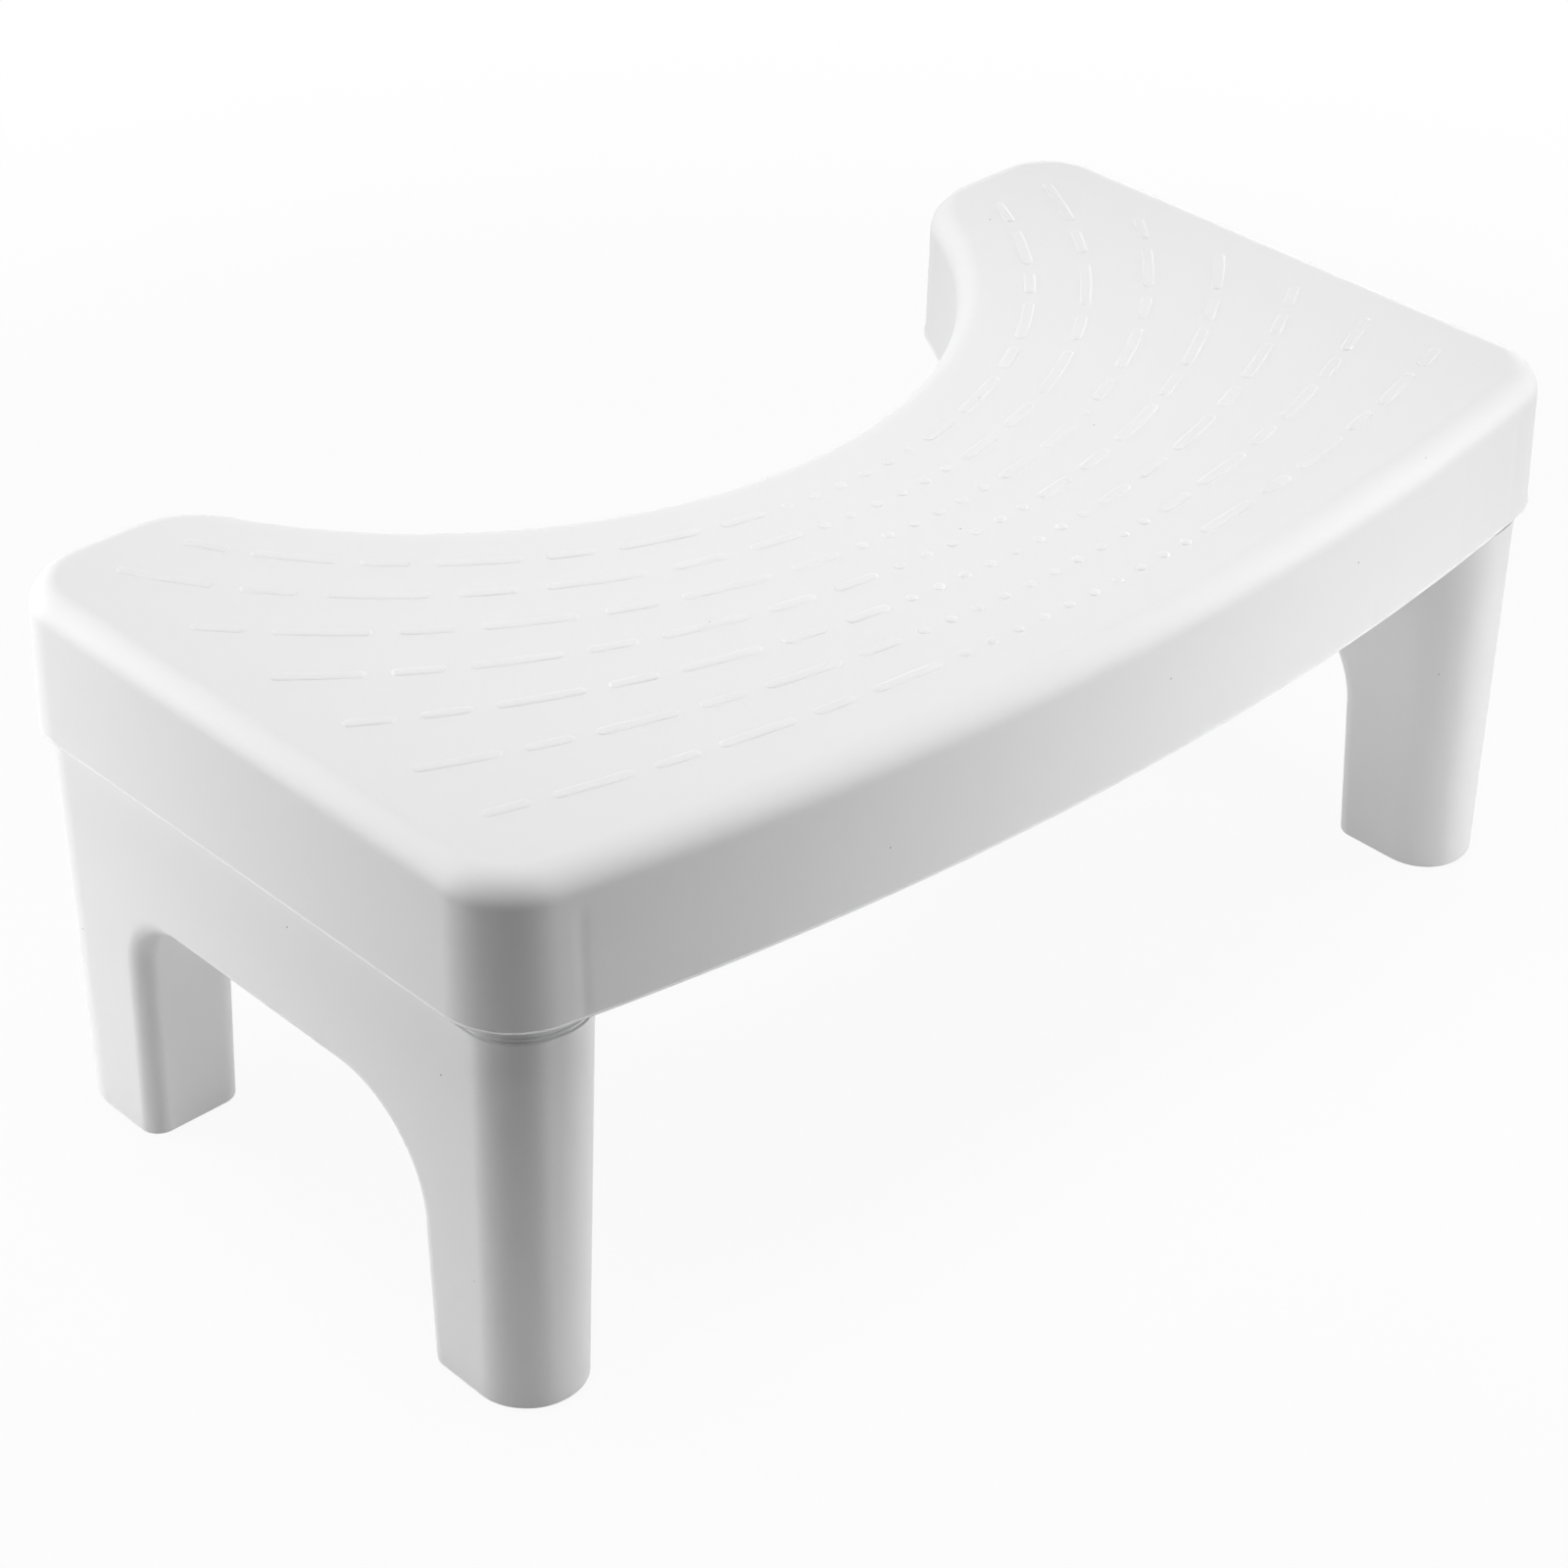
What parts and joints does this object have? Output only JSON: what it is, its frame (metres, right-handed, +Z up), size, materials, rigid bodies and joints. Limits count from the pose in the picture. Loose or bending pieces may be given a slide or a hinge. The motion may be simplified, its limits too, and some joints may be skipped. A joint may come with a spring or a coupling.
{
  "type": "toilet footstool",
  "caption": "Low crescent footstool: a bowed seat moulding with a round toilet recess and raised grip marks, carried by plug-in arched leg frames on rubber pads.",
  "frame": {"origin": "middle of the footprint, on the floor that the foot pads stand on", "axes": "+Z up, +X along the stool's length to the user's left as they face the toilet side (-Y is the bowed front edge, +Y the recess that goes round the toilet)"},
  "size_m": [0.4, 0.2256, 0.1671],
  "materials": {
    "seat_plastic": "satin moulded white polypropylene",
    "leg_plastic": "satin moulded white polypropylene",
    "pad_rubber": "matt soft rubber"
  },
  "bodies": {
    "seat": {"seat": "seat_plastic"},
    "left_leg": {"left_leg_frame": "leg_plastic", "front_left_foot_pad": "pad_rubber", "rear_left_foot_pad": "pad_rubber"},
    "right_leg": {"right_leg_frame": "leg_plastic", "front_right_foot_pad": "pad_rubber", "rear_right_foot_pad": "pad_rubber"}
  },
  "joints": [
    {"name": "left_leg_pull", "type": "slide", "parent": "seat", "child": "left_leg", "axis": [0, 0, -1], "range_m": [0, 0.03]},
    {"name": "right_leg_pull", "type": "slide", "parent": "seat", "child": "right_leg", "axis": [0, 0, -1], "range_m": [0, 0.03]}
  ]
}
